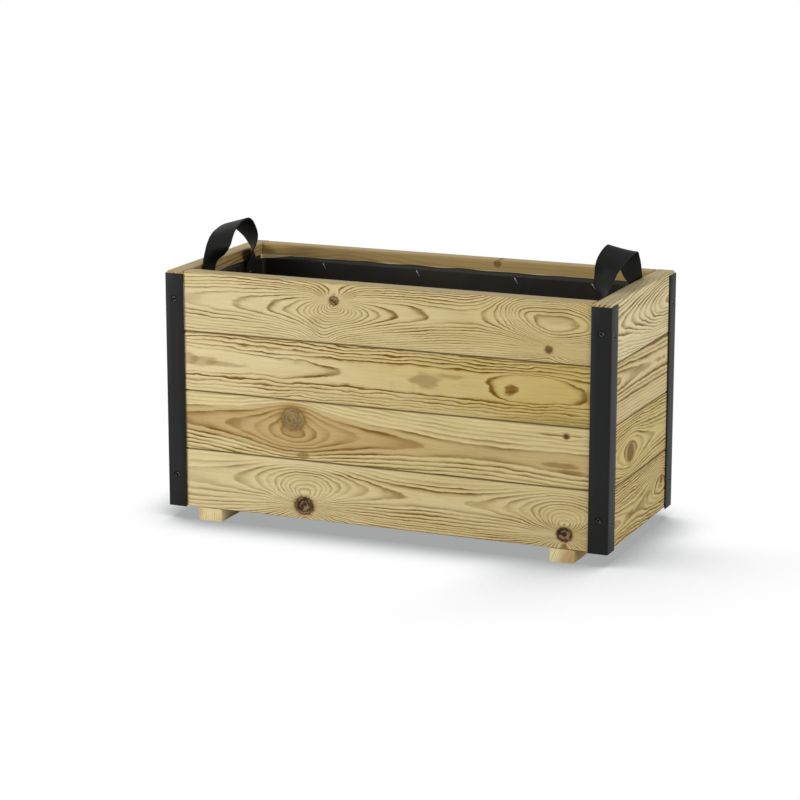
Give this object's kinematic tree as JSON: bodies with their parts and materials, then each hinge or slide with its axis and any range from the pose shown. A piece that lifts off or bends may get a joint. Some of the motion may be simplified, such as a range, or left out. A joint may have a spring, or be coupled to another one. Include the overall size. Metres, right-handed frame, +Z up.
{
  "type": "rectangular planter",
  "caption": "Rectangular planter box of tongued pine boards with folded steel corner angles, batten feet, a black film liner and a webbing carrying handle at each end.",
  "frame": {"origin": "on the ground, under the middle of the box", "axes": "+Z up, +X along the length to the right seen from the front, the front faces -Y"},
  "size_m": [0.7, 0.3, 0.438],
  "materials": {
    "pine": "planed pressure-treated pine, pale yellow green, unoiled",
    "coated_steel": "satin anthracite powder coat",
    "black_screw": "black coated countersunk screw",
    "zinc_screw": "zinc plated countersunk screw",
    "liner_film": "black polythene film, softly creased",
    "webbing": "woven black webbing"
  },
  "bodies": {
    "planter": {"front_board_1": "pine", "front_board_2": "pine", "front_board_3": "pine", "front_board_4": "pine", "rear_board_1": "pine", "rear_board_2": "pine", "rear_board_3": "pine", "rear_board_4": "pine", "left_board_1": "pine", "left_board_2": "pine", "left_board_3": "pine", "left_board_4": "pine", "right_board_1": "pine", "right_board_2": "pine", "right_board_3": "pine", "right_board_4": "pine", "front_right_angle": "coated_steel", "front_left_angle": "coated_steel", "rear_left_angle": "coated_steel", "rear_right_angle": "coated_steel", "front_right_face_screw_low": "black_screw", "front_right_face_screw_high": "black_screw", "front_right_end_screw_low": "black_screw", "front_right_end_screw_high": "black_screw", "front_left_face_screw_low": "black_screw", "front_left_face_screw_high": "black_screw", "front_left_end_screw_low": "black_screw", "front_left_end_screw_high": "black_screw", "rear_left_face_screw_low": "black_screw", "rear_left_face_screw_high": "black_screw", "rear_left_end_screw_low": "black_screw", "rear_left_end_screw_high": "black_screw", "rear_right_face_screw_low": "black_screw", "rear_right_face_screw_high": "black_screw", "rear_right_end_screw_low": "black_screw", "rear_right_end_screw_high": "black_screw", "left_foot": "pine", "right_foot": "pine", "left_foot_front_screw": "zinc_screw", "left_foot_rear_screw": "zinc_screw", "right_foot_front_screw": "zinc_screw", "right_foot_rear_screw": "zinc_screw", "floor_slat_1": "pine", "floor_slat_2": "pine", "floor_slat_3": "pine", "floor_slat_1_left_screw": "zinc_screw", "floor_slat_1_right_screw": "zinc_screw", "floor_slat_2_left_screw": "zinc_screw", "floor_slat_2_right_screw": "zinc_screw", "floor_slat_3_left_screw": "zinc_screw", "floor_slat_3_right_screw": "zinc_screw", "liner": "liner_film", "left_handle_front_tab": "webbing", "left_handle_rear_tab": "webbing", "right_handle_front_tab": "webbing", "right_handle_rear_tab": "webbing"},
    "left_handle": {"left_handle_loop": "webbing"},
    "right_handle": {"right_handle_loop": "webbing"}
  },
  "joints": [
    {"name": "left_handle_fold", "type": "hinge", "parent": "planter", "child": "left_handle", "pos_m": [-0.3171, 0, 0.3825], "axis": [0, 1, 0], "range_deg": [-60, 95], "stiffness_Nm_per_rad": 0.1},
    {"name": "right_handle_fold", "type": "hinge", "parent": "planter", "child": "right_handle", "pos_m": [0.3171, 0, 0.3825], "axis": [0, -1, 0], "range_deg": [-60, 95], "stiffness_Nm_per_rad": 0.1}
  ]
}
